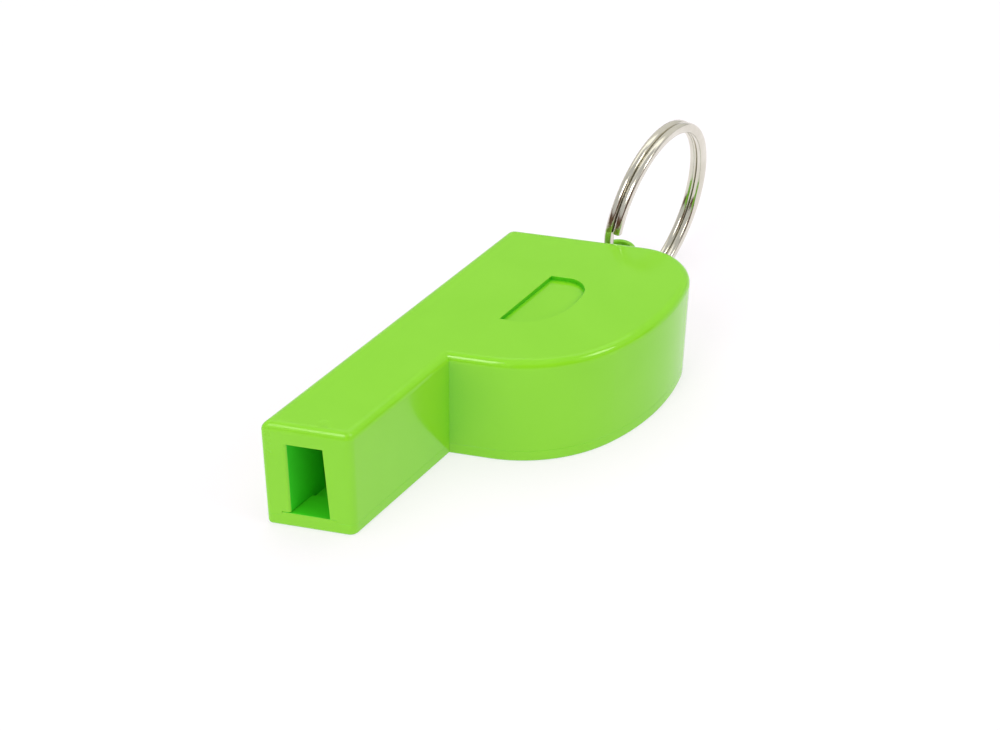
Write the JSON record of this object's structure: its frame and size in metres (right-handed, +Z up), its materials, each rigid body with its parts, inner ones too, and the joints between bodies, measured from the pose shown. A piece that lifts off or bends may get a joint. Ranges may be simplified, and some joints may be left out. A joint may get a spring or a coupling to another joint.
{
  "type": "training whistle",
  "caption": "P-shaped moulded pea whistle for animal training: side mouthpiece, round chamber, sound slot and a wire split ring in its rear eye.",
  "frame": {"origin": "on the flat underside, under the chamber's axis", "axes": "+Y from the mouth towards the split ring, +X towards the bowl side, +Z up out of the recessed face"},
  "size_m": [0.0267, 0.081, 0.0252],
  "materials": {
    "lime_plastic": "moulded gloss",
    "nickel_wire": "nickel-plated wire",
    "pea_ball": "cork-like synthetic ball"
  },
  "bodies": {
    "whistle": {"body_shell": "lime_plastic", "bottom_cover": "lime_plastic"},
    "ring": {"split_ring": "nickel_wire"},
    "pea_ball": {"pea": "pea_ball"}
  },
  "joints": [
    {"name": "ring_swing", "type": "hinge", "parent": "whistle", "child": "ring", "pos_m": [-0.0019, 0.01675, 0.011], "axis": [0, 0, 1], "range_deg": [-76, 98]},
    {"name": "pea_orbit", "type": "hinge", "parent": "whistle", "child": "pea_ball", "pos_m": [0, 0, 0.00625], "axis": [0, 0, 1], "continuous": true}
  ]
}
